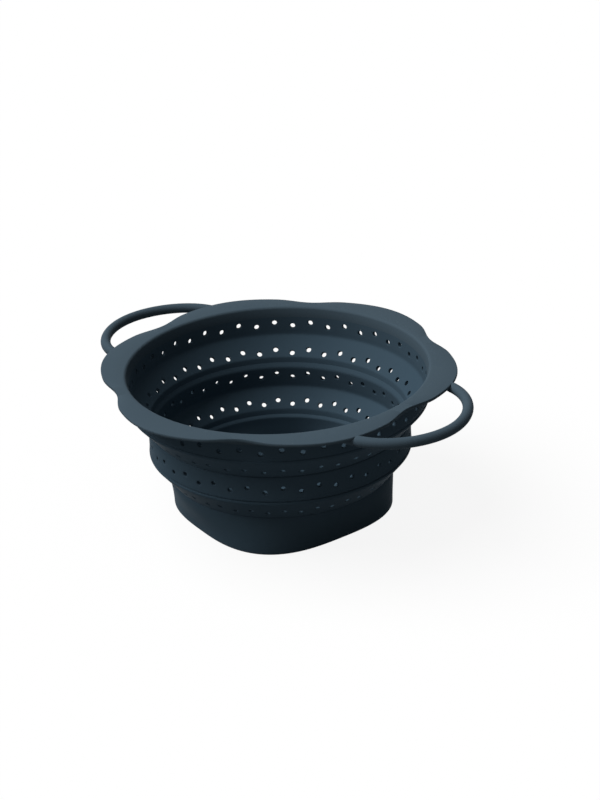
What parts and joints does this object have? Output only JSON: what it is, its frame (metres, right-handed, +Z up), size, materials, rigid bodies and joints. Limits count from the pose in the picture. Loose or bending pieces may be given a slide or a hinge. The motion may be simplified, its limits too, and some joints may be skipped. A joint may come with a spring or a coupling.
{
  "type": "collapsible colander",
  "caption": "Round silicone colander that folds flat in two steps, with a petal-edged rim, wire-cored loop handles and a rounded-square base.",
  "frame": {"origin": "middle of the flat foot that the colander stands on", "axes": "+Z up along the bowl's axis, +X along the line through both handles, +Y across them"},
  "size_m": [0.2978, 0.2408, 0.1024],
  "materials": {
    "silicone_wall": "matt moulded silicone",
    "silicone_rim": "matt moulded silicone",
    "silicone_fold": "matt moulded silicone, thinner",
    "steel_wire": "drawn stainless wire"
  },
  "bodies": {
    "base": {"base_cup": "silicone_wall", "base_floor": "silicone_wall", "base_hinge": "silicone_fold", "lower_fold_band": "silicone_fold"},
    "ring": {"ring_foot_hinge": "silicone_fold", "middle_ring": "silicone_wall", "ring_top_hinge": "silicone_fold"},
    "rim": {"upper_fold_band": "silicone_fold", "collar_hinge": "silicone_fold", "collar_wall": "silicone_wall", "rim_flange": "silicone_rim", "rim_wire": "steel_wire", "right_handle_sleeve": "silicone_rim", "right_handle_wire": "steel_wire", "left_handle_sleeve": "silicone_rim", "left_handle_wire": "steel_wire"}
  },
  "joints": [
    {"name": "lower_fold", "type": "slide", "parent": "base", "child": "ring", "axis": [0, 0, 1], "range_m": [-0.034, 0], "deforming": ["lower_fold_band"]},
    {"name": "upper_fold", "type": "slide", "parent": "ring", "child": "rim", "axis": [0, 0, 1], "range_m": [-0.034, 0], "deforming": ["upper_fold_band"]}
  ]
}
